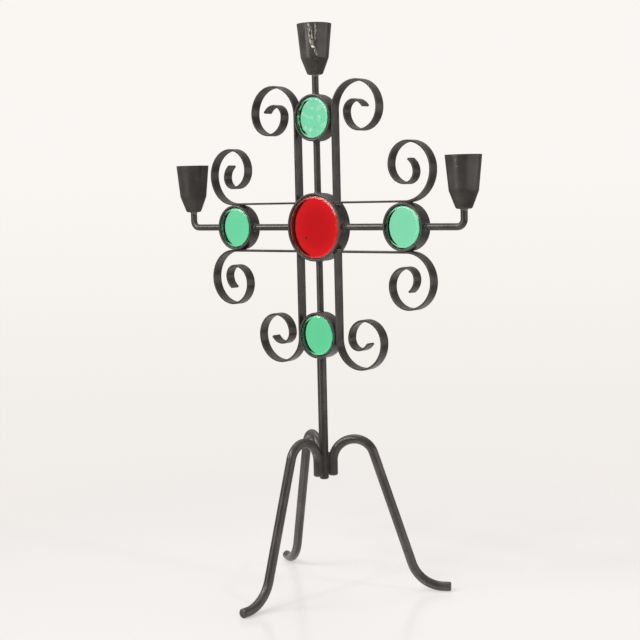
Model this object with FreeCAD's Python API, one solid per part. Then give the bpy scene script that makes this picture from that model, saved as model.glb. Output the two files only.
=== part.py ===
import FreeCAD, Part
import math
import os

from FreeCAD import Vector

# Three-light candlestick of brazed iron bar: a cross of five band rings, each round a disc of
# coloured glass, with eight scrolled strips, three candle cups, a stem and three bent legs.
# Millimetres, +Z up. The cross faces -Y. The origin is on the floor under the stem's axis.

# Bar stock
rod_diameter = 5.0
stem_diameter = 7.0
leg_diameter = 7.0
strip_width = 8.0
strip_thickness = 1.5

# Rings of flat band: four small ones round one large one
small_ring_diameter = 34.5
small_ring_depth = 10.9
large_ring_diameter = 50.6
large_ring_depth = 12.3
ring_wall = 1.5
ring_spacing = 80.5
centre_height = 273.8

# Glass discs
small_glass_thickness = 8.0
large_glass_thickness = 10.0
glass_side_clearance = 0.1
glass_front_recess = 1.0
glass_edge_bevel = 0.8

# Scrolled strips: they leave their ring a little past its middle, curl in quarter turns whose
# radii are shares of scroll_radius, and end in a slacker bend and a short straight tip
scroll_start = 2.6
scroll_radius = 22.4
later_bend_shares = (0.887, 0.715, 0.606, 0.363)
scroll_tip_share = 0.458
scroll_tip_turn = 47.5
scroll_tip_length = 2.2

# The strips are bent by hand: each has its own share of scroll_start, and for its first quarter
# turn of scroll_radius, in the order of SCROLLS
scroll_start_shares = (1.0, 1.73, 1.44, 0.94, 0.75, 0.78, 0.54, 0.95)
first_bend_shares = (1.0, 0.93, 0.954, 0.992, 0.953, 0.871, 1.002, 0.918)

# Candle cups, pressed from sheet
cup_rim_diameter = 25.6
cup_shoulder_diameter = 20.7
cup_floor_diameter = 11.2
cup_height = 36.9
cup_shoulder_height = 12.4
cup_wall = 1.0
cup_corner_radius = 2.0

# Rods that carry the cups
top_rod_length = 14.1
side_cup_spacing = 129.5
side_cup_rise = 12.2
arm_bend_radius = 5.5

# Tripod: heights are of the bars' centre lines
leg_arch_height = 114.8
arch_inner_radius = 16.6
arch_outer_radius = 14.9
leg_splay = 18.2
toe_bend_radius = 25.0
toe_length = 5.4
leg_brazed_length = 11.0
stem_overhang = 3.0
bar_end_bevel = 0.8

# How far a cutting solid runs past what it cuts
cutter_overrun = 5.0

# Unit directions and right angles
ACROSS = Vector(1, 0, 0)
BACK = Vector(0, 1, 0)
UP = Vector(0, 0, 1)
QUARTER = 90.0
FULL = 360.0

# The arms of the cross and the legs, both anticlockwise and evenly spaced. An arm has two
# scrolls, the first one being the top arm's left scroll once it is turned there.
ARMS = ("top", "left", "bottom", "right")
SCROLLS = (
    ("top_left", "top_right"),
    ("left_lower", "left_upper"),
    ("bottom_right", "bottom_left"),
    ("right_upper", "right_lower"),
)
LEGS = ("front", "right", "left")

small_ring_radius = small_ring_diameter / 2
large_ring_radius = large_ring_diameter / 2
centre = Vector(0, 0, centre_height)


class BentBar:
    """The centre line of a bar bent flat in the XZ plane: straight runs and tangent bends."""

    def __init__(self, x, z, heading):
        self.point = Vector(x, 0, z)
        self.heading = heading
        self.pieces = []

    def along(self):
        angle = math.radians(self.heading)
        return Vector(math.cos(angle), 0, math.sin(angle))

    def run(self, length):
        end = self.point + self.along() * length
        self.pieces.append((self.point, self.point * 0.5 + end * 0.5, end, None, 0))
        self.point = end

    def bend(self, radius, turn):
        """Turns left by turn degrees, seen from the front, or right where turn is negative."""
        side = math.copysign(radius, turn)
        bend_centre = self.point + self.left() * side
        places = [self.point]
        for share in (0.5, 1.0):
            spoke = self.point - bend_centre
            swing = FreeCAD.Rotation(-BACK, turn * share)
            places.append(bend_centre + swing.multVec(spoke))
        self.pieces.append((*places, bend_centre, turn))
        self.point = places[-1]
        self.heading += turn

    def left(self):
        angle = math.radians(self.heading + QUARTER)
        return Vector(math.cos(angle), 0, math.sin(angle))

    def side_edges(self, offset):
        """The line's edges moved sideways by offset, to the left where it is positive."""
        edges = []
        for start, middle, end, bend_centre, turn in self.pieces:
            if bend_centre is None:
                shift = (end - start).cross(BACK).normalize() * offset
                edges.append(Part.LineSegment(start + shift, end + shift).toShape())
            else:
                share = offset / math.copysign((start - bend_centre).Length, turn)
                moved = [p + (bend_centre - p) * share for p in (start, middle, end)]
                edges.append(Part.Arc(*moved).toShape())
        return edges

    def flat_bar(self, thickness, width):
        """A strip bent on the flat, its width along Y."""
        left = self.side_edges(thickness / 2)
        right = self.side_edges(-thickness / 2)
        start = Part.LineSegment(left[0].firstVertex().Point, right[0].firstVertex().Point)
        end = Part.LineSegment(left[-1].lastVertex().Point, right[-1].lastVertex().Point)
        outline = left + right + [start.toShape(), end.toShape()]
        front = Part.Face(Part.Wire(Part.sortEdges(outline)[0]))
        front.translate(BACK * (-width / 2))
        return front.extrude(BACK * width)

    def round_bar(self, diameter):
        lengths = []
        for start, middle, end, bend_centre, turn in self.pieces:
            if bend_centre is None:
                section = Part.Face(Part.Wire(Part.makeCircle(diameter / 2, start, end - start)))
                lengths.append(section.extrude(end - start))
            else:
                facing = (start - bend_centre).cross(BACK)
                section = Part.Face(Part.Wire(Part.makeCircle(diameter / 2, start, facing)))
                lengths.append(section.revolve(bend_centre, -BACK, turn))
        if len(lengths) == 1:
            return lengths[0]
        return lengths[0].multiFuse(lengths[1:]).removeSplitter()


def drum(radius, depth, middle):
    """A cylinder that lies along Y, half its depth each side of middle."""
    return Part.makeCylinder(radius, depth, middle - BACK * (depth / 2), BACK)


def turned_arm(shape, quarters):
    """The top arm's piece, brought to another arm of the cross."""
    copy = shape.copy()
    copy.rotate(centre, -BACK, quarters * QUARTER)
    return copy


def mirrored(shape):
    return shape.mirror(centre, ACROSS)


def band_ring(diameter, depth, middle):
    bore = drum(diameter / 2 - ring_wall, depth, middle)
    return drum(diameter / 2, depth, middle).cut(bore)


def glass_disc(ring_diameter, ring_depth, thickness, middle):
    """A disc with ground edges, set back a little from the front rim of its ring."""
    radius = ring_diameter / 2 - ring_wall - glass_side_clearance
    disc = drum(radius, thickness, middle)
    disc = disc.makeChamfer(glass_edge_bevel, [edge for edge in disc.Edges if edge.Closed])
    disc.translate(BACK * (glass_front_recess + thickness / 2 - ring_depth / 2))
    return disc


def coped(bar, ring_middle, ring_radius):
    """The bar with its end cut hollow, to seat on the outside of a ring."""
    return bar.cut(drum(ring_radius, bar.BoundBox.YLength + cutter_overrun, ring_middle))


def eased_ends(bar):
    """The bar with the sharp edges of its square cut ends taken off."""
    ends = [face for face in bar.Faces if isinstance(face.Surface, Part.Plane)]
    return bar.makeChamfer(bar_end_bevel, [edge for face in ends for edge in face.Edges])


def upright_rod(diameter, low, high):
    return Part.makeCylinder(diameter / 2, high - low, Vector(0, 0, low))


def inner_rod(ring_middle):
    rod = upright_rod(rod_diameter, centre.z, ring_middle.z)
    rod = coped(rod, centre, large_ring_radius)
    return coped(rod, ring_middle, small_ring_radius)


def scroll_strip(ring_middle, start_share, first_bend_share):
    """Left strip of the top arm: off the large ring, past the small ring, then curled out."""
    line = BentBar(-small_ring_radius - strip_thickness / 2, centre.z, QUARTER)
    line.run(ring_middle.z + scroll_start * start_share - centre.z)
    for share in (first_bend_share, *later_bend_shares):
        line.bend(scroll_radius * share, QUARTER)
    line.bend(scroll_radius * scroll_tip_share, scroll_tip_turn)
    line.run(scroll_tip_length)
    strip = line.flat_bar(strip_thickness, strip_width)
    return coped(strip.cut(mitre_block()), centre, large_ring_radius)


def mitre_block():
    """All that lies on the side arm's side of the diagonal where two strips meet."""
    reach = large_ring_diameter
    depth = strip_width + cutter_overrun
    corners = [centre, centre + (UP - ACROSS) * reach, centre - (UP + ACROSS) * reach]
    side = Part.Face(Part.makePolygon([*corners, centre]))
    side.translate(BACK * (-depth / 2))
    return side.extrude(BACK * depth)


def cup_solid(foot_radius, foot_height, shoulder_height, wall):
    """The cup's body of revolution with its sides moved in by wall."""
    foot = Vector(0, 0, foot_height)
    floor = Vector(foot_radius, 0, foot_height)
    shoulder = Vector(cup_shoulder_diameter / 2 - wall, 0, shoulder_height)
    rim = Vector(cup_rim_diameter / 2 - wall, 0, cup_height)
    outline = Part.makePolygon([foot, floor, shoulder, rim, Vector(0, 0, cup_height), foot])
    return Part.Face(outline).revolve(Vector(), UP, FULL)


def candle_cup(x, z):
    """Pressed cup: flared wall, creased shoulder, cone and a flat foot with a rounded corner."""
    foot_radius = cup_floor_diameter / 2
    flare = (cup_rim_diameter - cup_shoulder_diameter) / 2 / (cup_height - cup_shoulder_height)
    cone = (cup_shoulder_diameter / 2 - foot_radius) / cup_shoulder_height
    outside = cup_solid(foot_radius, 0, cup_shoulder_height, 0)
    circles = [edge for edge in outside.Edges if edge.Closed]
    foot_edge = min(circles, key=lambda edge: edge.CenterOfMass.z)
    outside = outside.makeFillet(cup_corner_radius, [foot_edge])
    inner_shoulder = cup_shoulder_height + cup_wall * (flare + cone) / 2
    inside = cup_solid(foot_radius - cup_wall * (1 - cone), cup_wall, inner_shoulder, cup_wall)
    cup = outside.cut(inside)
    cup.translate(Vector(x, 0, z))
    return cup


def side_arm(x, z):
    """Right arm: out from the side ring at mid height, then up to the cup's underside at z."""
    line = BentBar(ring_spacing, centre.z, 0)
    line.run(x - ring_spacing - arm_bend_radius)
    line.bend(arm_bend_radius, QUARTER)
    line.run(z - centre.z - arm_bend_radius)
    bar = line.round_bar(rod_diameter)
    return coped(bar, centre + ACROSS * ring_spacing, small_ring_radius)


def leg_line():
    """Up beside the stem, over the arch, down the straight shank and out along the toe."""
    line = BentBar((stem_diameter + leg_diameter) / 2, leg_end_height, QUARTER)
    line.run(leg_brazed_length)
    line.bend(arch_inner_radius, -QUARTER)
    line.bend(arch_outer_radius, leg_splay - QUARTER)
    splay = math.radians(leg_splay)
    toe_drop = toe_bend_radius * (1 - math.sin(splay))
    line.run((line.point.z - toe_drop - leg_diameter / 2) / math.cos(splay))
    line.bend(toe_bend_radius, QUARTER - leg_splay)
    line.run(toe_length)
    return line


leg_end_height = leg_arch_height - arch_inner_radius - leg_brazed_length
top_ring_middle = centre + UP * ring_spacing
top_cup_base = top_ring_middle.z + small_ring_radius + top_rod_length
side_cup_base = centre_height + side_cup_rise

nodes = {}

nodes["centre_ring"] = band_ring(large_ring_diameter, large_ring_depth, centre)
nodes["centre_glass"] = glass_disc(
    large_ring_diameter, large_ring_depth, large_glass_thickness, centre)

arm_ring = band_ring(small_ring_diameter, small_ring_depth, top_ring_middle)
arm_glass = glass_disc(
    small_ring_diameter, small_ring_depth, small_glass_thickness, top_ring_middle)
arm_rod = inner_rod(top_ring_middle)
for quarters, arm in enumerate(ARMS):
    nodes[arm + "_ring"] = turned_arm(arm_ring, quarters)
    nodes[arm + "_glass"] = turned_arm(arm_glass, quarters)
    nodes[arm + "_inner_rod"] = turned_arm(arm_rod, quarters)

bend_shares = zip(scroll_start_shares, first_bend_shares)
for quarters, (scroll, mirrored_scroll) in enumerate(SCROLLS):
    strip = scroll_strip(top_ring_middle, *next(bend_shares))
    nodes[scroll + "_scroll"] = turned_arm(strip, quarters)
    strip = mirrored(scroll_strip(top_ring_middle, *next(bend_shares)))
    nodes[mirrored_scroll + "_scroll"] = turned_arm(strip, quarters)

nodes["top_cup"] = candle_cup(0, top_cup_base)
nodes["right_cup"] = candle_cup(side_cup_spacing, side_cup_base)
nodes["left_cup"] = candle_cup(-side_cup_spacing, side_cup_base)

nodes["top_rod"] = coped(
    upright_rod(rod_diameter, top_ring_middle.z, top_cup_base), top_ring_middle, small_ring_radius)
nodes["right_arm"] = side_arm(side_cup_spacing, side_cup_base)
nodes["left_arm"] = mirrored(nodes["right_arm"])

bottom_ring_middle = centre - UP * ring_spacing
stem_bar = upright_rod(stem_diameter, leg_end_height - stem_overhang, bottom_ring_middle.z)
nodes["stem"] = coped(eased_ends(stem_bar), bottom_ring_middle, small_ring_radius)

leg = eased_ends(leg_line().round_bar(leg_diameter))
for count, side in enumerate(LEGS):
    nodes[side + "_leg"] = leg.copy().rotate(Vector(), UP, FULL / len(LEGS) * count - QUARTER)

os.makedirs("parts", exist_ok=True)
for name, shape in nodes.items():
    if len(shape.Solids) != 1 or not shape.isValid():
        raise ValueError(f"{name} is not one sound solid")
    solid = shape.Solids[0]
    solid.exportStep(f"parts/{name}.step")
    print(f"{name}: {solid.Volume:.1f} mm3")
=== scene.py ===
"""Looks of a three-light candlestick: painted iron, glass discs, braze, paint runs and a studio."""

import math
import random

import bmesh
import bpy
from bpy.props import FloatProperty, FloatVectorProperty, IntProperty, PointerProperty
from mathutils import Matrix, Vector, noise


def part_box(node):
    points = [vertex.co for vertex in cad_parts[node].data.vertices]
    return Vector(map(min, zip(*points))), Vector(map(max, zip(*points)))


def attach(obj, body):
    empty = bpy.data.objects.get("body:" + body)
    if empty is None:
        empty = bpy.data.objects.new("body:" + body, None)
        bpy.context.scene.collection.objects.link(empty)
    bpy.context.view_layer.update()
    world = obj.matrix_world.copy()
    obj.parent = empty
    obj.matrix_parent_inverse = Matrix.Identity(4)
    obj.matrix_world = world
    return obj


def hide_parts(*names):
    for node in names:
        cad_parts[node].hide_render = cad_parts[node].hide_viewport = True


bl_info = {
    "name": "Candlestick Looks",
    "version": (1, 0, 0),
    "blender": (4, 5, 0),
    "location": "3D View > Sidebar > Candlestick",
    "description": "Dresses a candlestick of painted iron with its glass discs, joints and studio",
    "category": "Object",
}

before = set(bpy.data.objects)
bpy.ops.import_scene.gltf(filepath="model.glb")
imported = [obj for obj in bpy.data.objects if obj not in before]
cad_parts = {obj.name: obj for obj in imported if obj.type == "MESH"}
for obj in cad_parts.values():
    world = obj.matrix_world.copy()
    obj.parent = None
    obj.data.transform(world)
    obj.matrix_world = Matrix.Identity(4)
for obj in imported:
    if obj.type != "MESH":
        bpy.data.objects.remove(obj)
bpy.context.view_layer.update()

MM = 0.001
BACK = Vector((0, 1, 0))
UP = Vector((0, 0, 1))
HALF_TURN = Matrix.Rotation(math.pi, 4, "Y")

ARMS = ("top", "left", "bottom", "right")
CUPS = ("top", "left", "right")
LEG_COUNT = 3
GLASS_NODES = tuple(f"{arm}_glass" for arm in ARMS) + ("centre_glass",)


def extent(node):
    low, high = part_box(node)
    return high - low


def middle(node):
    low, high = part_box(node)
    return (low + high) / 2


# Sizes read from the iron parts
CENTRE = middle("centre_ring")
LARGE_RING_RADIUS = extent("centre_ring").z / 2
SMALL_RING_RADIUS = extent("top_ring").z / 2
RING_SPACING = middle("top_ring").z - CENTRE.z
ROD_RADIUS = extent("top_inner_rod").x / 2
STEM_RADIUS = extent("stem").x / 2
LEG_RADIUS = extent("front_leg").x / 2
STRIP_WIDTH = extent("top_left_scroll").y

# Sizes of the iron parts that their boxes don't give
LEG_END_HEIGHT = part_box("stem")[0].z + 3.0 * MM
LEG_STRAIGHT = 11.0 * MM
LEG_ARCH_RADIUS = 16.6 * MM
SCROLL_BEND_START = 1.4 * MM
SCROLL_BEND_RADIUS = 23.1 * MM
CUP_FOOT_FLAT = 3.6 * MM
CUP_FOOT_CORNER = 2.0 * MM

# Values that a user has no need to change
SHARP_ANGLE = 0.6
CLEAR_OF_CUP = 50 * MM
TOP_DISC_TINT = (0.44, 0.87, 0.68)
GLASS_GRIME = (0.16, 0.135, 0.115)
SLAG_COLOUR = (0.004, 0.003, 0.003)
PLAIN_GLOW = (0.27, 0.259, 0.25)
FLOOR_GLOSS_ROUGHNESS = 0.19
AMBIENT_COLOUR = (1.0, 0.985, 0.965)
LAMP_COLOUR = (1.0, 0.985, 0.96)
LAMP_DISTANCE = 1.2
LAMP_AIM = 0.8 * CENTRE.z
BULB_SIZE = 0.1


def length_prop(name, description, default, least=0.0):
    """A length that a user may change, in metres."""
    return FloatProperty(
        name=name, description=description, unit="LENGTH", default=default, min=least)


def angle_prop(name, description, degrees):
    return FloatProperty(
        name=name, description=description, subtype="ANGLE", default=math.radians(degrees))


def colour_prop(name, description, default):
    return FloatVectorProperty(
        name=name, description=description, subtype="COLOR", default=default, min=0, max=1)


class IronFinish(bpy.types.PropertyGroup):
    """Satin black paint on bar, strip and pressed cups."""

    paint: colour_prop("Paint", "Colour of the paint film", (0.0425, 0.0372, 0.0343))
    thin_paint: colour_prop(
        "Thin Paint", "Colour where the film is thin or rubbed", (0.065, 0.0575, 0.0525))
    worn: colour_prop(
        "Worn Edges", "Colour of edges that handling has rubbed bright", (0.25, 0.23, 0.205))
    rust: colour_prop("Rust", "Colour of the few rust freckles", (0.13, 0.062, 0.028))
    # Upward faces get this colour: partly a film of dirt on them, partly painted light from above
    dust_and_top_light: colour_prop("Dust and Top Light", "Colour of the dust film on upward faces", (0.16, 0.15, 0.14))
    roughness: FloatProperty(name="Roughness", description="Mean roughness of the paint",
        subtype="FACTOR", default=0.21, min=0, max=1)
    edge_rounding: length_prop("Edge Rounding", "Radius of the paint over a sharp edge", 0.25 * MM)
    rim_rounding: length_prop("Rim Rounding", "Radius of the filed rims of the rings", 0.5 * MM)
    wear_reach: length_prop("Wear Reach", "How far from an edge the rubbing shows", 0.35 * MM)
    # Besides wear, this wide lightening of the rims is a painted highlight along them
    rim_wear_and_highlight_reach: length_prop(
        "Rim Wear and Highlight Reach", "How far from a ring's rims the rubbing shows", 1.1 * MM)
    grain_size: length_prop(
        "Orange Peel", "Width of one dimple in the paint", 1.1 * MM, least=0.1 * MM)
    lump_size: length_prop(
        "Lumps", "Width of the slow waves left by brush and hammer", 9.0 * MM, least=1 * MM)


class GlassLook(bpy.types.PropertyGroup):
    """Cast glass discs, coloured all through."""

    green: colour_prop("Green", "What the bottle green glass lets through", (0.04, 0.885, 0.549))
    green_density: FloatProperty(name="Green Density",
        description="Strength of the green glass, per metre", default=190.0, min=0)
    red: colour_prop("Red", "What the ruby glass lets through", (0.951, 0.065, 0.1325))
    red_density: FloatProperty(name="Red Density",
        description="Strength of the ruby glass, per metre", default=385.0, min=0)
    bevel_width: length_prop(
        "Front Bevel", "Width of the front bevel that the cement leaves clear", 0.85 * MM)
    cement_lap: length_prop("Cement Lap", "How far the cement laps over the front bevel", 0.8 * MM)
    bevel_slope: angle_prop("Bevel Slope", "Tilt of the front bevel", 28)
    inner_rounding: length_prop(
        "Inner Rounding", "Radius between the front face and the bevel", 0.8 * MM)
    outer_rounding: length_prop(
        "Outer Rounding", "Radius between the bevel and the side wall", 0.5 * MM)
    back_edge: length_prop("Back Edge", "Radius of the back edge", 0.8 * MM)
    crown: length_prop(
        "Crown", "How far the middle of the face stands proud of its edge", 0.25 * MM)
    lift: length_prop("Lift", "How far the front stands out of the plain solid's front", 0.95 * MM)
    ripple: length_prop("Ripple", "Height of the waves on a plain disc's faces", 0.02 * MM)
    hammered_ripple: length_prop(
        "Hammered Ripple", "Height of the waves on the top disc's faces", 0.3 * MM)
    ripple_size: length_prop(
        "Ripple Size", "Width of one wave on a plain disc", 5.5 * MM, least=0.1 * MM)
    hammered_ripple_size: length_prop(
        "Hammered Ripple Size", "Width of one wave on the top disc", 3.2 * MM, least=0.1 * MM)
    segments: IntProperty(name="Segments", description="Facets round a disc", default=96, min=24)


class BrazeJoints(bpy.types.PropertyGroup):
    """Fillets of braze where bars, strips, rings and cups meet, painted over."""

    reach: length_prop("Reach", "Height of a fillet along the bar", 1.3 * MM)
    spread: length_prop("Spread", "Width of a fillet on the surface round the bar", 1.1 * MM)
    sink: length_prop("Sink", "How deep a fillet's hidden root lies in the iron", 0.3 * MM)
    corner_leg: length_prop(
        "Corner Leg", "Side of the fillet between a strip and the large ring", 2.0 * MM)
    seam_half_width: length_prop(
        "Seam Half Width", "Half the width of a seam between leg and stem", 2.1 * MM)


class PaintRuns(bpy.types.PropertyGroup):
    """Runs of paint and spots of wax on the cups."""

    height: length_prop("Height", "How far a run stands off the surface", 0.45 * MM)
    wax: colour_prop("Wax", "Colour of the spots of old wax", (0.86, 0.84, 0.8))


class Studio(bpy.types.PropertyGroup):
    """Camera, lamps, floor and backdrop."""

    lens: FloatProperty(
        name="Lens", description="Focal length on a 36 mm sensor", unit="CAMERA", default=78.41,
        min=1)
    sensor: FloatProperty(
        name="Sensor", description="Width of the sensor in millimetres", unit="CAMERA",
        default=36.0, min=1)
    camera_azimuth: angle_prop("Camera Azimuth", "Camera's turn to the right of the front", 39.776)
    camera_elevation: angle_prop(
        "Camera Elevation", "Camera's height above the horizon as an angle", 5.187)
    camera_roll: angle_prop("Camera Roll", "Lean of the camera about its own axis", -1.323)
    camera_distance: length_prop(
        "Camera Distance", "From the camera to the point it looks at", 1041.43 * MM)
    aim_height: length_prop("Aim Height", "Height of the point the camera looks at", 204.548 * MM)
    aim_sideways: length_prop(
        "Aim Sideways", "How far right of the stem the camera looks", -0.553 * MM, least=-1.0)
    floor_radius: length_prop(
        "Floor Radius", "Where the floor has faded into the backdrop", 620 * MM)
    floor_solid_radius: length_prop(
        "Solid Floor Radius", "Where the floor starts to fade", 150 * MM)
    floor_colour: colour_prop("Floor", "Colour of the floor", (0.33, 0.322, 0.315))
    floor_glow: colour_prop(
        "Floor Glow", "Light that comes up through the floor", (0.445, 0.43, 0.428))
    glow_tilt: FloatProperty(name="Glow Tilt",
        description="Gain of the floor's glow for each metre to the right", default=0.42, min=0)
    floor_gloss: FloatProperty(name="Floor Gloss",
        description="Share of light that the floor mirrors", subtype="FACTOR", default=0.3, min=0,
        max=1)
    gloss_radius: length_prop(
        "Gloss Radius", "How far from the stem the floor mirrors in full", 105 * MM)
    ambient: FloatProperty(name="Ambient", description="Level of the light from all round",
        default=0.3, min=0)
    room: FloatProperty(name="Room",
        description="How bright the room behind the camera mirrors in gloss", default=0.07, min=0)
    mirrored_backdrop: FloatProperty(name="Mirrored Backdrop",
        description="How bright the backdrop mirrors in gloss", default=0.3, min=0)
    key_level: FloatProperty(name="Key Level",
        description="Brightness a white face gets from the key lamp", default=0.36, min=0)
    panel_level: FloatProperty(name="Panel Level",
        description="Brightness a white face gets from the left panel, the weaker one",
        default=0.17, min=0)
    top_level: FloatProperty(name="Top Level",
        description="Brightness a white face gets from the back lamp, the weaker top one",
        default=0.3, min=0)
    bulb_level: FloatProperty(name="Bulb Level",
        description="Brightness a white face gets from each small lamp", default=0.15, min=0)


def look(name):
    return getattr(bpy.context.scene.candlestick, name)


def add_object(name, data):
    added = bpy.data.objects.new(name, data)
    bpy.context.scene.collection.objects.link(added)
    return added


def add_mesh(name, bm, *materials):
    """An object in the scene, made from a bmesh, which is freed."""
    mesh = bpy.data.meshes.new(name)
    bm.to_mesh(mesh)
    bm.free()
    for material in materials:
        mesh.materials.append(material)
    return add_object(name, mesh)


def new_piece(name, bm, *materials, slot="iron", outward=True):
    """A finished, smooth piece from a bmesh, on the object's one body. Its normals are turned
    outward, unless it has hollows whose faces must look inwards."""
    if outward:
        bmesh.ops.recalc_face_normals(bm, faces=bm.faces)
    for face in bm.faces:
        face.smooth = True
    piece = add_mesh(name, bm, *materials)
    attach(piece, "root")
    return piece


def loft(bm, loops, matrix=Matrix(), closed_path=False):
    """Skins a list of equal closed loops of points; open paths get their two ends capped."""
    rows = [[bm.verts.new(matrix @ point) for point in loop] for loop in loops]
    count = len(rows[0])
    last = len(rows) if closed_path else len(rows) - 1
    for index in range(last):
        here, there = rows[index], rows[(index + 1) % len(rows)]
        for side in range(count):
            after = (side + 1) % count
            bm.faces.new((here[side], here[after], there[after], there[side]))
    if not closed_path:
        for row in (rows[0], rows[-1]):
            for side in range(count // 2 - 1):
                bm.faces.new((row[side], row[side + 1], row[-side - 2], row[-side - 1]))


def level(turn):
    """Unit vector at a turn from +X, level with the floor."""
    return Vector((math.cos(turn), math.sin(turn), 0))


def on_disc(out, depth, turn):
    """A place in a disc, from its middle."""
    return Vector((out * math.cos(turn), depth, out * math.sin(turn)))


def wobble(seed):
    """A smooth hand-made unevenness, about -1 to 1, that closes on itself every full turn."""
    draw = random.Random(seed)
    waves = [(count, draw.uniform(0.2, 0.5), draw.uniform(0, math.tau)) for count in (1, 2, 3, 5)]

    def value(turn):
        return sum(size * math.sin(count * turn + phase) for count, size, phase in waves)

    return value


def shares(steps):
    """Numbers from 0 to 1 in equal steps."""
    return [step / steps for step in range(steps + 1)]


def hollow_curve(start, corner, end, steps):
    """Points of a hollow curve from start to end, pulled towards corner."""
    points = []
    for share in shares(steps):
        near = start.lerp(corner, share)
        far = corner.lerp(end, share)
        points.append(near.lerp(far, share))
    return points


class Nodes:
    """Short hand for wiring one node tree. An input takes a number, a colour, a socket or a
    node, whose first output is then meant."""

    def __init__(self, tree):
        self.tree = tree
        tree.nodes.clear()

    def feed(self, socket, value):
        if isinstance(value, bpy.types.Node):
            value = value.outputs[0]
        if isinstance(value, bpy.types.NodeSocket):
            self.tree.links.new(value, socket)
        elif socket.type == "RGBA":
            socket.default_value = (*value[:3], 1.0)
        else:
            socket.default_value = value

    def add(self, kind, inputs=None, **settings):
        node = self.tree.nodes.new(f"ShaderNode{kind}")
        for name, value in settings.items():
            setattr(node, name, value)
        for name, value in (inputs or {}).items():
            self.feed(node.inputs[name], value)
        return node

    def place(self):
        return self.add("TexCoord").outputs["Object"]

    def part(self, vector, axis):
        return self.add("SeparateXYZ", {"Vector": vector}).outputs[axis]

    def vector_math(self, operation, *vectors):
        """The number that comes out of a DOT_PRODUCT or a LENGTH."""
        node = self.add("VectorMath", dict(enumerate(vectors)), operation=operation)
        return node.outputs["Value"]

    def math(self, operation, first, second=0.0, clamp=False):
        return self.add(
            "Math", {0: first, 1: second}, operation=operation, use_clamp=clamp).outputs[0]

    def times(self, first, second):
        return self.math("MULTIPLY", first, second)

    def noise(self, place, scale, detail=2.0, roughness=0.5):
        return self.add("TexNoise", {
            "Vector": place, "Scale": scale, "Detail": detail,
            "Roughness": roughness}).outputs["Fac"]

    def fit(self, value, low, high, to_low=0.0, to_high=1.0):
        return self.add("MapRange", {
            "Value": value, "From Min": low, "From Max": high, "To Min": to_low,
            "To Max": to_high}, interpolation_type="SMOOTHSTEP").outputs["Result"]

    def patches(self, place, scale, detail, *span, roughness=0.5):
        """Noise with its contrast raised: span is what fit takes after the value."""
        return self.fit(self.noise(place, scale, detail, roughness), *span)

    def mix_colour(self, factor, first, second):
        return self.add("Mix", {0: factor, 6: first, 7: second}, data_type="RGBA").outputs[2]

    def mix_shader(self, factor, first, second):
        return self.add("MixShader", {0: factor, 1: first, 2: second})

    def bump(self, strength, distance, height, under=None, invert=False):
        inputs = {"Strength": strength, "Distance": distance, "Height": height}
        if under:
            inputs["Normal"] = under
        return self.add("Bump", inputs, invert=invert)

    def coat(self, colour, roughness, ior=1.5, **others):
        return self.add("BsdfPrincipled", {
            "Base Color": colour, "Roughness": roughness, "IOR": ior, **others})

    def output(self, surface, **others):
        self.add("OutputMaterial", {"Surface": surface, **others})


def new_material(name):
    material = bpy.data.materials.new(name)
    material.use_nodes = True
    return material, Nodes(material.node_tree)


def painted_iron(name="Painted iron", rubbed_share=0.3, wear_reach=None, dulling=0.0):
    """Satin black paint, a little lumpy, thinner in places and rubbed through along a share of
    its edges, as far from them as wear_reach. Dulling makes it rougher and darker."""
    existing = bpy.data.materials.get(name)
    if existing:
        return existing
    finish = look("iron")
    material, nodes = new_material(name)
    place = nodes.place()
    normal = nodes.add("NewGeometry").outputs["Normal"]

    clouds = nodes.patches(place, 0.55 / finish.lump_size, 4.0, 0.42, 0.68)
    film = nodes.mix_colour(clouds, finish.paint, finish.thin_paint)

    # Worn colour along edges: real wear, and on the ring rims, where it spreads wide, also a
    # painted highlight
    rounded = nodes.add("Bevel", {"Radius": wear_reach or finish.wear_reach}, samples=6)
    edge = nodes.fit(nodes.vector_math("DOT_PRODUCT", rounded, normal), 0.995, 0.85)
    bare = 0.66 - 0.4 * rubbed_share
    rubbing = nodes.patches(place, 0.5 / finish.grain_size, 5.0, bare - 0.1, bare + 0.1)
    wear = nodes.times(edge, rubbing)
    film = nodes.mix_colour(nodes.times(wear, 0.75), film, finish.worn)

    freckles = nodes.patches(place, 0.35 / finish.grain_size, 6.0, 0.66, 0.72, roughness=0.65)
    rust = nodes.times(freckles, nodes.patches(place, 0.25 / finish.lump_size, 2.0, 0.52, 0.62))
    film = nodes.mix_colour(nodes.times(rust, 0.6), film, finish.rust)

    # Upward faces are lightened in patches: partly a film of dirt, partly painted light from above
    patchiness = nodes.patches(
        place, 1.4 / finish.lump_size, 5.0, 0.3, 0.75, 0.1, 0.4, roughness=0.6)
    dust_and_top_light = nodes.times(nodes.fit(nodes.part(normal, "Z"), 0.3, 1.0), patchiness)
    film = nodes.mix_colour(dust_and_top_light, film, finish.dust_and_top_light)
    film = nodes.mix_colour(0.9 * dulling, film, (0, 0, 0))

    mean = finish.roughness + dulling
    roughness = nodes.patches(
        place, 0.8 / finish.lump_size, 3.0, 0.3, 0.7, mean - 0.07, mean + 0.08)
    roughness = nodes.math("ADD", roughness, nodes.times(dust_and_top_light, 0.3), clamp=True)

    lumps = nodes.bump(0.35, 0.25 * MM, nodes.noise(place, 1 / finish.lump_size, detail=1.5))
    peel = nodes.bump(
        0.06, 0.05 * MM, nodes.noise(place, 1 / finish.grain_size, detail=2.5), lumps)
    chips = nodes.bump(0.4, 0.05 * MM, wear, peel, invert=True)
    nodes.output(nodes.coat(film, roughness, Normal=chips))
    return material


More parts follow.
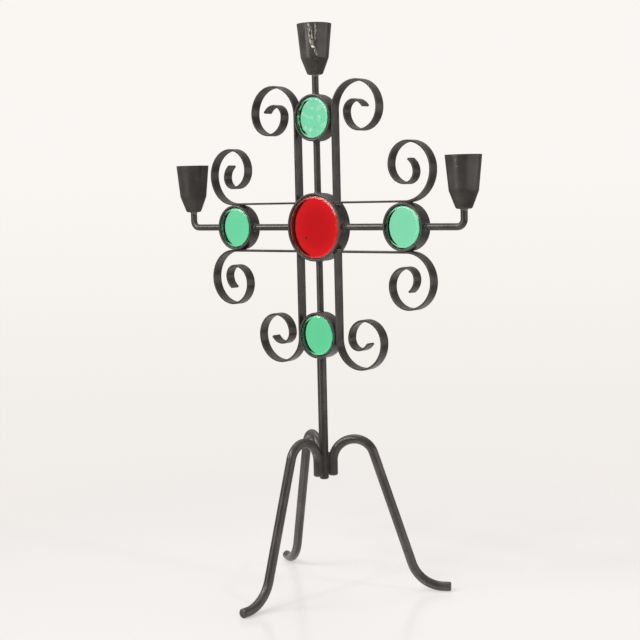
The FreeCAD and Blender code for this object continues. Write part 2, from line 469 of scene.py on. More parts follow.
def cast_glass(name, colour, density, middle_tint, blotched=False):
    """Glass coloured all through: colour from its depth, a little deeper in the middle, with
    grime left along the edge; a blotched disc is lighter towards its edge and in pale blotches,
    partly its mottling and partly painted glints of the lamps on its dimpled face."""
    material, nodes = new_material(name)
    places = nodes.add("TexCoord")
    place = places.outputs["Object"]
    off_middle = nodes.add("VectorMath", {
        0: places.outputs["Generated"], 1: (2.0, 0.0, 2.0), 2: (-1.0, 0.0, -1.0)},
        operation="MULTIPLY_ADD")
    out = nodes.vector_math("LENGTH", off_middle)
    tint = nodes.mix_colour(nodes.fit(out, 0.4, 1.0), middle_tint, (1, 1, 1))
    if blotched:
        # Lighter blotches: partly the glass's mottling, partly painted glints of the lamps
        pale = nodes.math("MAXIMUM", nodes.patches(place, 1 / (4.0 * MM), 1.0, 0.55, 0.66),
                          nodes.fit(out, 0.8, 1.0, 0.0, 0.5))
        tint = nodes.mix_colour(pale, TOP_DISC_TINT, tint)
    smears = nodes.patches(place, 1 / (6 * MM), 4.0, 0.35, 0.75, 0.04, 0.11)
    ground = nodes.math("ADD", smears, nodes.fit(out, 0.86, 0.92, 0.0, 0.13))
    waves = nodes.bump(0.05, 0.1 * MM, nodes.noise(place, 1 / (4 * MM), detail=1.0))
    surface = nodes.add("BsdfPrincipled", {
        "Base Color": tint, "Roughness": ground, "IOR": 1.5, "Transmission Weight": 1.0,
        "Normal": waves})
    uneven = nodes.times(nodes.noise(place, 1 / (3.5 * MM), detail=3.0), 0.25)
    left_on = nodes.fit(nodes.math("ADD", out, uneven), 1.03, 1.17, 0.0, 0.55)
    grime = nodes.add("BsdfDiffuse", {"Color": GLASS_GRIME})
    dulled = nodes.mix_shader(left_on, surface, grime)
    depth = nodes.add("VolumeAbsorption", {"Color": colour, "Density": density})
    nodes.output(dulled, Volume=depth)
    return material


def cemented_edge(name, bright, middling, dark, loose_depth=0.7):
    """The disc's side wall: cement, clearer towards the front, and patches that it has let go
    of, down to a share of the depth, where the glass mirrors from inside."""
    material, nodes = new_material(name)
    places = nodes.add("TexCoord")
    depth = nodes.part(places.outputs["Generated"], "Y")
    drawn_out = nodes.add("VectorMath", {
        0: places.outputs["Object"], 1: (0.5, 1.3, 0.5)}, operation="MULTIPLY")
    veil = nodes.noise(drawn_out, 1 / (2.1 * MM), detail=2.0)
    nearness = nodes.times(nodes.math("SUBTRACT", 0.5, depth), 0.16)
    forward = nodes.math("ADD", veil, nearness)
    colour = nodes.mix_colour(nodes.fit(forward, 0.46, 0.58), dark, middling)
    loose = nodes.times(nodes.patches(drawn_out, 1 / (1.9 * MM), 1.5, 0.48, 0.54),
                        nodes.fit(depth, loose_depth, loose_depth - 0.15))
    gleams = nodes.times(loose, nodes.fit(depth, 0.1, 0.2))
    colour = nodes.mix_colour(gleams, colour, bright)
    nodes.output(nodes.coat(colour, 0.12, Metallic=gleams))
    return material


def crusted_paint():
    """Paint that ran and dried rough, with flecks of wax in it."""
    existing = bpy.data.materials.get("Crusted paint")
    if existing:
        return existing
    finish = look("iron")
    material, nodes = new_material("Crusted paint")
    place = nodes.place()
    clouds = nodes.noise(place, 1 / (1.3 * MM), detail=3.0)
    film = nodes.mix_colour(nodes.fit(clouds, 0.44, 0.58), finish.thin_paint, finish.worn)
    flecks = nodes.patches(place, 1 / (0.9 * MM), 2.0, 0.56, 0.66)
    film = nodes.mix_colour(nodes.times(flecks, 0.6), film, look("runs").wax)
    nodes.output(nodes.coat(film, 0.38, Normal=nodes.bump(0.5, 0.2 * MM, clouds)))
    return material


def wax_spot():
    material, nodes = new_material("Old wax")
    wax = look("runs").wax
    grime = nodes.patches(nodes.place(), 1 / (0.8 * MM), 4.0, 0.45, 0.75, 0.0, 0.5)
    colour = nodes.mix_colour(grime, wax, [0.45 * part for part in wax])
    nodes.output(nodes.coat(colour, 0.42, ior=1.44))
    return material


class CANDLESTICK_OT_paint_iron(bpy.types.Operator):
    """Round the edges of every iron part and give it satin black paint"""

    bl_idname = "candlestick.paint_iron"
    bl_label = "Paint the Iron"

    # The side cups' paint is rougher and darker than the top cup's: by how much, cup by cup
    dullings = {"left_cup": 0.26, "right_cup": 0.12}

    def execute(self, context):
        finish = look("iron")
        # The rings' rims are lightened all along and far in: partly wear, partly a painted
        # highlight where light catches them
        rubbed = painted_iron("Painted iron rims", 1.0, finish.rim_wear_and_highlight_reach)
        for name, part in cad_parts.items():
            if name in GLASS_NODES:
                continue
            ring = name.endswith("_ring")
            paint = rubbed if ring else painted_iron()
            if name in self.dullings:
                paint = painted_iron(f"Painted iron {name}", dulling=self.dullings[name])
            for material_slot in part.material_slots:
                material_slot.material = paint
            weld = part.modifiers.new("Join seams", "WELD")
            weld.merge_threshold = 0.001 * MM
            edges = part.modifiers.new("Paint over edges", "BEVEL")
            edges.width = finish.rim_rounding if ring else finish.edge_rounding
            edges.segments = 4 if ring else 2
            edges.limit_method = "ANGLE"
            edges.angle_limit = SHARP_ANGLE
            edges.use_clamp_overlap = False
            part.modifiers.new("Even shading", "WEIGHTED_NORMAL")
        return {"FINISHED"}


def front_edge(glass):
    """Steps outwards and backwards over the front bevel, from the face to the side wall, and how
    many of them come before the part that the cement covers."""
    slope = glass.bevel_slope
    inner, outer = glass.inner_rounding, glass.outer_rounding
    steps = []
    for share in shares(4)[1:]:
        angle = slope * share
        steps.append((inner * math.sin(angle), inner * (1 - math.cos(angle))))
    out, back = steps[-1]
    bare, whole = glass.bevel_width, glass.bevel_width + glass.cement_lap
    for run in (0.33 * bare, 0.67 * bare, bare, (bare + whole) / 2, whole):
        steps.append((out + run, back + run * math.tan(slope)))
    clear = len(steps) - 2
    out, back = steps[-1]
    for step in range(1, 6):
        angle = slope + (math.pi / 2 - slope) * step / 5
        steps.append((out + outer * (math.sin(angle) - math.sin(slope)),
                      back + outer * (math.cos(slope) - math.cos(angle))))
    return steps, clear


def disc_rings(radius, thickness, glass):
    """A disc from the middle of its front to the middle of its back: the circles' radii and
    depths, the radius of its flat, and the first and last circle of the cemented band, which
    laps round both edges."""
    face_steps, edge_steps = 14, 8
    edge, clear = front_edge(glass)
    flat = radius - edge[-1][0]
    front = -thickness / 2 + glass.crown - glass.lift
    back = thickness / 2
    rings = []
    for share in shares(face_steps)[1:]:
        rings.append((flat * share, front - glass.crown * (1 - share * share)))
    rings += [(flat + out, front + behind) for out, behind in edge]
    cement = face_steps + clear - 1, len(rings) + edge_steps
    for share in shares(edge_steps):
        angle = math.pi / 2 * share
        rings.append((radius - glass.back_edge * (1 - math.cos(angle)),
                      back - glass.back_edge * (1 - math.sin(angle))))
    for step in reversed(range(1, face_steps)):
        rings.append(((radius - glass.back_edge) * step / face_steps, back))
    return rings, flat, cement


def add_bubble(bm, place, radius, hollow):
    """A small ball in the glass: a bubble, whose faces look inwards, or a speck of slag."""
    matrix = Matrix.Translation(place)
    made = bmesh.ops.create_icosphere(bm, subdivisions=2, radius=radius, matrix=matrix)
    faces = list({face for vert in made["verts"] for face in vert.link_faces})
    if hollow:
        bmesh.ops.reverse_faces(bm, faces=faces)
    else:
        for face in faces:
            face.material_index = 2


def glass_disc(node, materials, slot, waves, bubbles, seed):
    """waves are the height and the width of one wave; bubbles makes the hollows and specks."""
    glass = look("glass")
    ripple, wave_size = waves
    centre = middle(node)
    size = extent(node)
    radius, thickness = size.z / 2, size.y
    rings, flat, (cement_start, cement_end) = disc_rings(radius, thickness, glass)
    draw = random.Random(seed)
    shift = Vector((draw.uniform(-9, 9), draw.uniform(-9, 9), draw.uniform(-9, 9)))

    def on_face(out, depth, turn):
        point = on_disc(out, depth, turn)
        calm = min(1.0, max(0.0, (flat - out) / (2 * MM)))
        swell = noise.noise(point / wave_size + shift)
        inward = -1 if depth > 0 else 1
        point.y += inward * ripple * calm * (0.5 + 0.5 * swell)
        return point + centre

    bm = bmesh.new()
    turns = [math.tau * index / glass.segments for index in range(glass.segments)]
    front_pole = bm.verts.new(on_face(0, -thickness / 2 - glass.lift, 0))
    back_pole = bm.verts.new(on_face(0, thickness / 2, 0))
    rows = [[bm.verts.new(on_face(out, depth, turn)) for turn in turns] for out, depth in rings]
    for index in range(glass.segments):
        after = (index + 1) % glass.segments
        bm.faces.new((front_pole, rows[0][index], rows[0][after]))
        bm.faces.new((back_pole, rows[-1][after], rows[-1][index]))
        for number in range(len(rows) - 1):
            here, there = rows[number], rows[number + 1]
            face = bm.faces.new((here[index], there[index], there[after], here[after]))
            face.material_index = 1 if cement_start <= number < cement_end else 0
    bmesh.ops.recalc_face_normals(bm, faces=bm.faces)
    for place, size, hollow in bubbles(draw, radius, thickness):
        add_bubble(bm, place + centre, size, hollow)
    piece = new_piece(f"{node}_disc", bm, *materials, slot=slot, outward=False)
    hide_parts(node)


def slag():
    material, nodes = new_material("Slag")
    nodes.output(nodes.coat(SLAG_COLOUR, 0.6))
    return material


def scattered_bubbles(count, smallest, largest):
    """A maker of seeds spread through a disc, well inside its faces."""
    off_edge, off_face = 2.5 * MM, 1.2 * MM

    def bubbles(draw, radius, thickness):
        places = []
        for _ in range(count):
            size = draw.uniform(smallest, largest)
            out = (radius - off_edge) * math.sqrt(draw.random())
            turn = draw.uniform(0, math.tau)
            depth = draw.uniform(-thickness / 2 + off_face, thickness / 2 - off_face)
            places.append((on_disc(out, depth, turn), size, True))
        return places

    return bubbles


def ruby_bubbles(draw, radius, thickness):
    """A speck of slag close under the face, low on the left, and a few seeds."""
    face = -thickness / 2 - look("glass").lift
    places = scattered_bubbles(3, 0.08 * MM, 0.14 * MM)(draw, radius, thickness)
    speck, speck_radius = Vector((-7.5 * MM, face + 0.95 * MM, -7.8 * MM)), 0.68 * MM
    return places + [(speck, speck_radius, False)]


class CANDLESTICK_OT_set_glass(bpy.types.Operator):
    """Set the green and ruby glass discs in their rings"""

    bl_idname = "candlestick.set_glass"
    bl_label = "Set the Glass"

    # Casting differs from disc to disc: how strong each one's colour is, as a share of the setting
    strength_shares = {"top": 0.37, "left": 0.93, "bottom": 1.03, "right": 0.77}

    def execute(self, context):
        glass = look("glass")
        green_cement = (0.55, 0.85, 0.65), (0.085, 0.24, 0.15), (0.012, 0.035, 0.022)
        green_edge = cemented_edge("Green disc edge", *green_cement)
        loose_edge = cemented_edge("Green disc edge top", *green_cement, loose_depth=1.2)
        red_edge = cemented_edge(
            "Ruby disc edge", (0.6, 0.25, 0.22), (0.34, 0.11, 0.09), (0.14, 0.045, 0.038))
        for seed, arm in enumerate(ARMS):
            density = glass.green_density * self.strength_shares[arm]
            tint = (1, 1, 1) if arm == "top" else (1, 0.95, 0.98)
            green = cast_glass(
                f"Green glass {arm}", glass.green, density, tint, blotched=arm == "top")
            edge, waves = green_edge, (glass.ripple, glass.ripple_size)
            bubbles = scattered_bubbles(4, 0.08 * MM, 0.16 * MM)
            if arm == "top":
                edge, waves = loose_edge, (glass.hammered_ripple, glass.hammered_ripple_size)
                bubbles = scattered_bubbles(16, 0.14 * MM, 0.34 * MM)
            glass_disc(f"{arm}_glass", (green, edge), "green_glass", waves, bubbles, seed)
        ruby = cast_glass("Ruby glass", glass.red, glass.red_density, (0.765, 0.68, 0.74))
        glass_disc("centre_glass", (ruby, red_edge, slag()), "red_glass",
                   (glass.ripple, glass.ripple_size), ruby_bubbles, 7)
        return {"FINISHED"}


def arm_matrix(quarters):
    """Axes of an arm at the middle of the cross: X to the arm's side, Y back, Z outwards."""
    angle = math.pi / 2 * quarters
    side = Vector((math.cos(angle), 0, math.sin(angle)))
    outward = Vector((-math.sin(angle), 0, math.cos(angle)))
    return Matrix.Translation(CENTRE) @ Matrix((side, BACK, outward)).transposed().to_4x4()


def off_cylinder(radius):
    """How far a cylinder along Y falls away beside its crest."""

    def drop(x, y):
        return radius - math.sqrt(max(radius * radius - x * x, 0))

    return drop


def off_cup_foot(flat_radius, corner_radius):
    """How far a cup's rounded foot falls away round its flat."""

    def drop(x, y):
        past = min(max(math.hypot(x, y) - flat_radius, 0), corner_radius)
        return corner_radius - math.sqrt(corner_radius * corner_radius - past * past)

    return drop


def collar(bm, matrix, bar_radius, drop, seed):
    """A hollow fillet all round a bar that stands on a surface at the matrix's origin."""
    braze = look("braze")
    wave = wobble(seed)
    unevenness = 0.22
    stations, steps = 40, 5
    loops = []
    for station in range(stations):
        turn = math.tau * station / stations
        sideways = level(turn)
        height = braze.reach * (1 + unevenness * wave(turn))
        foot = sideways * (bar_radius + braze.spread * (1 + unevenness * wave(turn + 2)))
        foot.z = -drop(foot.x, foot.y)
        root = sideways * bar_radius
        root.z = -drop(root.x, root.y)
        top = sideways * bar_radius + UP * (root.z + height)
        inner = sideways * (bar_radius - braze.sink)
        loop = hollow_curve(top, root, foot, steps)
        loop.append(foot - UP * braze.sink)
        loop.append(inner + UP * (root.z - braze.sink))
        loop.append(inner + UP * top.z)
        loops.append(loop)
    loft(bm, loops, matrix, closed_path=True)


def strip_fill(bm, matrix, side, seed):
    """Braze in the narrow gap where a strip passes a small ring, on the given side (-1 or 1)."""
    below, above = 5.0 * MM, 4.3 * MM
    sink, narrowing, hollow = 0.12 * MM, 0.6 * MM, 0.25 * MM
    wave = wobble(seed)
    stations, across = 18, 4
    loops = []
    for share in shares(stations):
        along = -below + (below + above) * share
        end = abs(2 * share - 1) ** 6
        half = STRIP_WIDTH / 2 * (0.93 + 0.04 * wave(share * 4)) - narrowing * end
        front, back = [], []
        for way in shares(across):
            bow = 1 - (2 * way - 1) ** 2
            height = along * (1 - 0.1 * bow * end)
            ring = math.sqrt(SMALL_RING_RADIUS ** 2 - height ** 2) - sink
            past = max(height - SCROLL_BEND_START, 0)
            strip = SMALL_RING_RADIUS + sink
            strip += SCROLL_BEND_RADIUS - math.sqrt(SCROLL_BEND_RADIUS ** 2 - past ** 2)
            out = side * (ring + (strip - ring) * way)
            width = half - hollow * bow
            front.append(Vector((out, -width, RING_SPACING + height)))
            back.append(Vector((out, width, RING_SPACING + height)))
        loops.append(front + back[::-1])
    loft(bm, loops, matrix)


def corner_fill(bm, matrix, side, seed):
    """A fillet along the edge where a strip's inner face lands on the large ring."""
    leg = look("braze").corner_leg
    sink = 0.15 * MM
    wave = wobble(seed)
    stations, steps = 12, 4
    face = SMALL_RING_RADIUS
    contact = math.sqrt(LARGE_RING_RADIUS ** 2 - face ** 2)
    loops = []
    for way in shares(stations):
        share = 2 * way - 1
        size = leg * (1 + 0.16 * wave(share * 2)) * (1 - 0.35 * abs(share) ** 5)
        depth = share * STRIP_WIDTH / 2 * 0.97
        angle = math.atan2(face, contact) - size / LARGE_RING_RADIUS
        on_strip = Vector((side * (face + sink), depth, contact + size))
        corner = Vector((side * face, depth, contact))
        ring_radius = LARGE_RING_RADIUS - sink
        on_ring = Vector((side * ring_radius * math.sin(angle), depth,
                          ring_radius * math.cos(angle)))
        hidden = Vector((side * (face + sink), depth, contact - 2 * sink))
        inner = corner.lerp((on_strip + on_ring) / 2, 0.25)
        loop = hollow_curve(on_strip, inner, on_ring, steps)
        loop.append(hidden)
        loops.append(loop)
    loft(bm, loops, matrix)


def leg_seam(bm, heading, seed):
    """Braze down both sides of the line where a leg lies along the stem."""
    braze = look("braze")
    sink, hollow = 0.15 * MM, 0.19
    low = LEG_END_HEIGHT + 0.5 * MM
    web = 6.4 * MM
    high = LEG_END_HEIGHT + LEG_STRAIGHT + web
    wave = wobble(seed)
    stations, arc_steps, side_steps = 22, 4, 4
    outward = level(heading)
    across = UP.cross(outward)
    spacing = STEM_RADIUS + LEG_RADIUS
    loops = []
    for share in shares(stations):
        height = low + (high - low) * share
        past = max(height - LEG_END_HEIGHT - LEG_STRAIGHT, 0)
        lean = LEG_ARCH_RADIUS - math.sqrt(LEG_ARCH_RADIUS ** 2 - past ** 2)
        half = braze.seam_half_width * (1 + 0.07 * wave(share * 3))
        half *= 1 - 0.55 * max(share - 0.8, 0) / 0.2 - 0.3 * max(0.06 - share, 0) / 0.06
        swing = math.asin(half / STEM_RADIUS)
        stem, leg = [], []
        for way in shares(arc_steps):
            angle = swing * (2 * way - 1)
            out = (STEM_RADIUS - sink) * math.cos(angle)
            side = STEM_RADIUS * math.sin(angle)
            stem.append(outward * out + across * side)
            leg.append(outward * (spacing + lean - out) + across * side)
        loop = list(stem)
        for start, end in ((stem[-1], leg[-1]), (leg[0], stem[0])):
            corner = (start + end) / 2 - across * (start + end).dot(across) * hollow
            loop += hollow_curve(start, corner, end, side_steps)[1:-1]
            if start is stem[-1]:
                loop += leg[::-1]
        loops.append([point + UP * height for point in loop])
    loft(bm, loops)


class CANDLESTICK_OT_braze_joints(bpy.types.Operator):
    """Run braze into the joints between bars, strips, rings, cups and legs"""

    bl_idname = "candlestick.braze_joints"
    bl_label = "Braze the Joints"

    def execute(self, context):
        iron = painted_iron()
        rods, strips, corners = bmesh.new(), bmesh.new(), bmesh.new()
        on_large, on_small = off_cylinder(LARGE_RING_RADIUS), off_cylinder(SMALL_RING_RADIUS)
        for quarters, arm in enumerate(ARMS):
            matrix = arm_matrix(quarters)
            seed = 10 * quarters
            inner_side = matrix @ Matrix.Translation(UP * (RING_SPACING - SMALL_RING_RADIUS))
            outer_side = matrix @ Matrix.Translation(UP * (RING_SPACING + SMALL_RING_RADIUS))
            outer_bar = STEM_RADIUS if arm == "bottom" else ROD_RADIUS
            collar(rods, matrix @ Matrix.Translation(UP * LARGE_RING_RADIUS), ROD_RADIUS,
                   on_large, seed)
            collar(rods, inner_side @ HALF_TURN, ROD_RADIUS, on_small, seed + 1)
            collar(rods, outer_side, outer_bar, on_small, seed + 2)
            for side in (-1, 1):
                strip_fill(strips, matrix, side, seed + 4 + side)
                corner_fill(corners, matrix, side, seed + 7 + side)
        new_piece("rod_braze", rods, iron)
        new_piece("strip_braze", strips, iron)
        new_piece("corner_braze", corners, crusted_paint())

        cups = bmesh.new()
        for seed, cup in enumerate(CUPS):
            foot = middle(f"{cup}_cup")
            foot.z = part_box(f"{cup}_cup")[0].z
            collar(cups, Matrix.Translation(foot) @ HALF_TURN, ROD_RADIUS,
                   off_cup_foot(CUP_FOOT_FLAT, CUP_FOOT_CORNER), 60 + seed)
        new_piece("cup_braze", cups, crusted_paint())

        seams = bmesh.new()
        for count in range(LEG_COUNT):
            heading = math.tau * count / LEG_COUNT - math.pi / 2
            leg_seam(seams, heading, 80 + count)
        new_piece("leg_braze", seams, iron)
        return {"FINISHED"}


def cup_surface(cup, turn, below_rim):
    """Point and normal on the outside of a cup, so far round it and below its rim."""
    node = f"{cup}_cup"
    axis = middle(node)
    axis.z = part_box(node)[1].z - below_rim
    outward = level(turn)
    outside = axis + outward * CLEAR_OF_CUP
    hit, place, normal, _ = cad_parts[node].ray_cast(outside, -outward)
    if not hit:
        raise RuntimeError(f"no surface found on the {cup} cup {below_rim} m below its rim")
    return place, normal


def run_of_paint(bm, cup, route, seed):
    """A run down a cup. Each point of its route has a turn in degrees, a distance below the
    rim, a half width and a height."""
    wave = wobble(seed)
    steps, sides = 5, 8
    sink, root_sink, root_share = 0.05 * MM, 0.3 * MM, 0.7
    stations = []
    for first, second in zip(route, route[1:]):
        for step in range(steps):
            stations.append([a + (b - a) * step / steps for a, b in zip(first, second)])
    stations.append(list(route[-1]))
    loops = []
    for share, (turn, below, half, height) in zip(shares(len(stations) - 1), stations):
        taper = math.sqrt(max(1 - abs(2 * share - 1) ** 6, 0.02))
        half *= taper * (1 + 0.12 * wave(share * 6))
        height *= taper
        place, normal = cup_surface(cup, math.radians(turn), below)
        across = UP.cross(normal).normalized()
        loop = []
        for way in shares(sides):
            angle = math.pi * way
            loop.append(place + across * half * math.cos(angle)
                        + normal * (height * math.sin(angle) - sink))
        loop.append(place - across * half * root_share - normal * root_sink)
        loop.append(place + across * half * root_share - normal * root_sink)
        loops.append(loop)
    loft(bm, loops)


# Cup and route of each run or spot: turn in degrees, distance below the rim and half width in mm,
# and height as a share of the height setting
CRUSTED_RUNS = (
    ("top", (-69.8, 0.6, 1.3, 1), (-67.6, 3.3, 1.2, 1), (-68.4, 7.5, 0.8, 0.9),
     (-66.3, 12.3, 0.9, 1), (-61.7, 15.6, 1.2, 1.5), (-54.5, 17.6, 1.6, 2),
     (-46.5, 20.2, 1.1, 1), (-41.0, 24.2, 1.5, 1.2)),
    ("top", (-59.5, 2.5, 0.5, 1), (-58.3, 9.5, 0.45, 0.7), (-56.8, 13, 0.6, 0.8),
     (-54.5, 16.4, 0.8, 1)),
    ("top", (-45.6, 0.6, 0.8, 0.9), (-45.7, 7.5, 0.7, 0.8), (-47.2, 12.7, 0.7, 0.8)),
    ("right", (-82.5, 3.0, 0.35, 0.6), (-82.0, 5.8, 0.3, 0.6)),
    ("right", (-81.5, 7.4, 0.35, 0.6), (-81.0, 10.2, 0.3, 0.6)),
    ("right", (-10, 23.0, 0.25, 0.5), (-12, 23.8, 0.35, 0.5)),
)
SMOOTH_RUNS = (
    ("top", (-43.5, 25.2, 1.6, 1.2), (-43, 30, 1.4, 1.1), (-43, 34.4, 1.1, 0.9)),
    ("left", (-76, 0.8, 0.5, 0.5), (-75, 6, 0.4, 0.5)),
)
WAX_SPOTS = (
    ("top", (-58.5, 16.5, 1.2, 2.3), (-53.0, 18.6, 1.3, 2.4)),
    ("right", (-90, 0.6, 0.4, 0.8), (-76, 0.6, 0.4, 0.8)),
)


class CANDLESTICK_OT_add_runs(bpy.types.Operator):
    """Add the runs of paint and the spots of wax on the cups"""

    bl_idname = "candlestick.add_runs"
    bl_label = "Add Paint Runs"

    def execute(self, context):
        tall = look("runs").height
        seed = 0
        for name, runs, material in (
                ("crusted_runs", CRUSTED_RUNS, crusted_paint()),
                ("paint_runs", SMOOTH_RUNS, painted_iron()),
                ("wax_spots", WAX_SPOTS, wax_spot())):
            bm = bmesh.new()
            for cup, *stations in runs:
                seed += 1
                route = [(turn, below * MM, half * MM, share * tall)
                         for turn, below, half, share in stations]
                run_of_paint(bm, cup, route, seed)
            new_piece(name, bm, material)
        return {"FINISHED"}


def backdrop_colour(nodes, height):
    """The backdrop's colour, by the sine of the line of sight's elevation."""
    ramp = nodes.add("ValToRGB")
    low, high = -0.25, 0.15
    stops = (
        (-0.203, (0.886, 0.850, 0.823)),
        (-0.147, (0.888, 0.855, 0.826)),
        (-0.090, (0.913, 0.879, 0.839)),
        (-0.033, (0.939, 0.905, 0.871)),
        (0.024, (0.956, 0.922, 0.896)),
        (0.120, (0.956, 0.922, 0.896)),
    )
    while len(ramp.color_ramp.elements) < len(stops):
        ramp.color_ramp.elements.new(1.0)
    for element, (sine, colour) in zip(ramp.color_ramp.elements, stops):
        element.position = (sine - low) / (high - low)
        element.color = (*colour, 1.0)
    nodes.feed(ramp.inputs["Fac"], nodes.add("MapRange", {
        "Value": height, "From Min": low, "From Max": high}))
    return ramp.outputs["Color"]


def build_world(studio, towards_camera):
    world = bpy.data.worlds.new("Pale studio")
    bpy.context.scene.world = world
    world.use_nodes = True
    nodes = Nodes(world.node_tree)
    direction = nodes.add("TexCoord").outputs["Generated"]
    backdrop = backdrop_colour(nodes, nodes.part(direction, "Z"))
    seen = nodes.add("Background", {"Color": backdrop, "Strength": 1.0})

    facing = nodes.vector_math("DOT_PRODUCT", direction, towards_camera)
    room = nodes.fit(facing, -0.6, 0.4, studio.mirrored_backdrop, studio.room)
    mirrored = nodes.add("Background", {"Color": backdrop, "Strength": room})
    ambient = nodes.add("Background", {"Color": AMBIENT_COLOUR, "Strength": studio.ambient})

    path = nodes.add("LightPath")
    direct = nodes.math(
        "MAXIMUM", path.outputs["Is Camera Ray"], path.outputs["Is Transmission Ray"])
    mix = nodes.mix_shader(path.outputs["Is Glossy Ray"], ambient, mirrored)
    nodes.add("OutputWorld", {"Surface": nodes.mix_shader(direct, mix, seen)})


def build_floor(studio, towards_camera):
    material, nodes = new_material("Pale floor")
    place = nodes.place()
    away = nodes.vector_math("LENGTH", place)
    fade = nodes.fit(away, studio.floor_solid_radius, studio.floor_radius)
    solid = nodes.add("BsdfDiffuse", {"Color": studio.floor_colour})
    sideways = nodes.vector_math("DOT_PRODUCT", place, UP.cross(towards_camera))
    gain = nodes.math("ADD", 1.0, nodes.times(sideways, studio.glow_tilt))
    glow = nodes.add("Emission", {"Color": studio.floor_glow, "Strength": gain})
    share = studio.floor_gloss
    gloss = nodes.add("BsdfGlossy", {
        "Color": (share, share, share), "Roughness": FLOOR_GLOSS_ROUGHNESS})
    # Further out a plain glow of like strength takes over, so that no lamp mirrors there
    plain = nodes.add("Emission", {"Color": PLAIN_GLOW, "Strength": share})
    reach = nodes.fit(away, studio.gloss_radius, 2 * studio.gloss_radius)
    lit = nodes.add("AddShader", {0: solid, 1: glow})
    lit = nodes.add("AddShader", {0: lit, 1: nodes.mix_shader(reach, gloss, plain)})
    nodes.output(nodes.mix_shader(fade, lit, nodes.add("BsdfTransparent")))
    bm = bmesh.new()
    bmesh.ops.create_circle(bm, cap_ends=True, segments=96, radius=studio.floor_radius)
    add_mesh("studio_floor", bm, material)


def direction_at(azimuth, elevation):
    """Unit vector towards a place at an azimuth right of the front and an elevation."""
    return Vector((math.sin(azimuth) * math.cos(elevation),
                   -math.cos(azimuth) * math.cos(elevation), math.sin(elevation)))


def add_softbox(name, azimuth, elevation, size, brightness, roll=0):
    """A lamp aimed at the middle of the object. Its angles are in degrees, and its brightness
    is what a white face gets."""
    lamp = bpy.data.lights.new(name, "AREA")
    lamp.shape = "RECTANGLE"
    lamp.size, lamp.size_y = size
    lamp.energy = brightness * math.pi ** 2 * LAMP_DISTANCE ** 2
    lamp.color = LAMP_COLOUR
    box = add_object(name, lamp)
    outward = direction_at(math.radians(azimuth), math.radians(elevation))
    box.matrix_world = (
        Matrix.Translation(UP * LAMP_AIM + outward * LAMP_DISTANCE)
        @ outward.to_track_quat("Z", "Y").to_matrix().to_4x4()
        @ Matrix.Rotation(math.radians(roll), 4, "Z"))
    box.visible_camera = False
    box.visible_transmission = False
    return box


def build_camera(studio):
    back = direction_at(studio.camera_azimuth, studio.camera_elevation)
    right = UP.cross(back).normalized()
    upright = back.cross(right)
    roll = studio.camera_roll
    rolled_right = right * math.cos(roll) + upright * math.sin(roll)
    rolled_up = upright * math.cos(roll) - right * math.sin(roll)
    target = UP * studio.aim_height + rolled_right * studio.aim_sideways
    place = target + back * studio.camera_distance
    data = bpy.data.cameras.new("Camera")
    data.sensor_fit = "HORIZONTAL"
    data.sensor_width = studio.sensor
    data.lens = studio.lens
    data.clip_start, data.clip_end = 0.01, 20
    camera = add_object("Camera", data)
    turn = Matrix((rolled_right, rolled_up, back)).transposed().to_4x4()
    camera.matrix_world = Matrix.Translation(place) @ turn
    bpy.context.scene.camera = camera


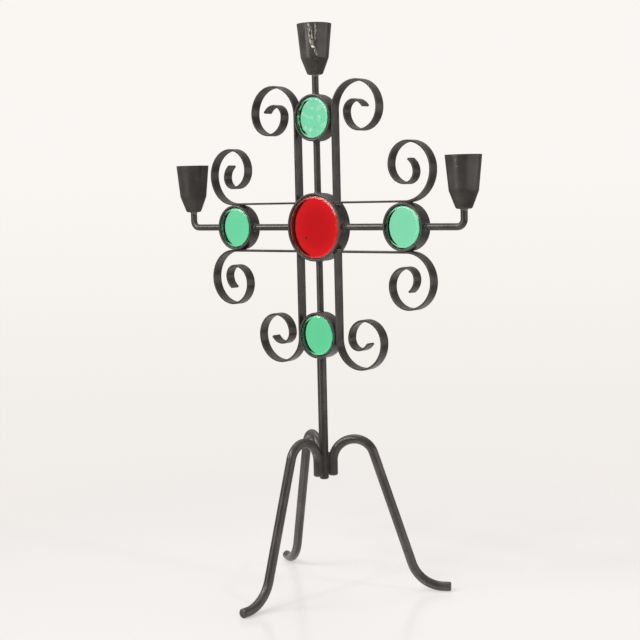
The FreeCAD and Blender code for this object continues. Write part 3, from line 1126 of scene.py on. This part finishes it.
class CANDLESTICK_OT_build_studio(bpy.types.Operator):
    """Put up the floor, the backdrop, the lamps and the camera"""

    bl_idname = "candlestick.build_studio"
    bl_label = "Build the Studio"

    def execute(self, context):
        studio = look("studio")
        build_camera(studio)
        towards_camera = direction_at(studio.camera_azimuth, 0)
        build_floor(studio, towards_camera)
        build_world(studio, towards_camera)
        front = math.degrees(studio.camera_azimuth)
        add_softbox("Key softbox", front - 86, 31, (0.42, 0.6), studio.key_level)
        add_softbox("Left panel", front - 56, 2, (0.5, 0.66), studio.panel_level)
        add_softbox("Right panel", front + 61, 2, (2.0, 0.66), 1.9 * studio.panel_level)
        add_softbox("Front strip", front - 42, 40, (1.2, 0.3), 1.8 * studio.top_level, -28)
        add_softbox("Back softbox", front + 180, 70, (0.9, 0.7), studio.top_level)
        # Two small lamps draw the crisp shadows of the feet; their mirror images are left out
        for name, azimuth in (("Left bulb", front - 50), ("Right bulb", front + 55)):
            bulb = add_softbox(name, azimuth, 56, (BULB_SIZE, BULB_SIZE), studio.bulb_level)
            bulb.visible_glossy = False
        context.scene.view_settings.view_transform = "Standard"
        return {"FINISHED"}


OPERATORS = (
    CANDLESTICK_OT_paint_iron,
    CANDLESTICK_OT_set_glass,
    CANDLESTICK_OT_braze_joints,
    CANDLESTICK_OT_add_runs,
    CANDLESTICK_OT_build_studio,
)


class CandlestickLooks(bpy.types.PropertyGroup):
    """All that a user may change."""

    iron: PointerProperty(type=IronFinish)
    glass: PointerProperty(type=GlassLook)
    braze: PointerProperty(type=BrazeJoints)
    runs: PointerProperty(type=PaintRuns)
    studio: PointerProperty(type=Studio)


class CANDLESTICK_PT_looks(bpy.types.Panel):
    """Sizes, colours and building steps of the candlestick"""

    bl_idname = "CANDLESTICK_PT_looks"
    bl_label = "Candlestick"
    bl_space_type = "VIEW_3D"
    bl_region_type = "UI"
    bl_category = "Candlestick"

    def draw(self, context):
        looks = context.scene.candlestick
        for group_name, operator in zip(CandlestickLooks.__annotations__, OPERATORS):
            box = self.layout.box()
            group = getattr(looks, group_name)
            for name in type(group).__annotations__:
                box.prop(group, name)
            box.operator(operator.bl_idname)


CLASSES = (
    IronFinish, GlassLook, BrazeJoints, PaintRuns, Studio, CandlestickLooks,
    *OPERATORS, CANDLESTICK_PT_looks,
)


def register():
    for cls in CLASSES:
        bpy.utils.register_class(cls)
    bpy.types.Scene.candlestick = PointerProperty(type=CandlestickLooks)


def unregister():
    del bpy.types.Scene.candlestick
    for cls in reversed(CLASSES):
        bpy.utils.unregister_class(cls)


def main():
    register()
    bpy.ops.candlestick.build_studio()
    bpy.ops.candlestick.paint_iron()
    bpy.ops.candlestick.set_glass()
    bpy.ops.candlestick.braze_joints()
    bpy.ops.candlestick.add_runs()


if __name__ == "__main__":
    main()
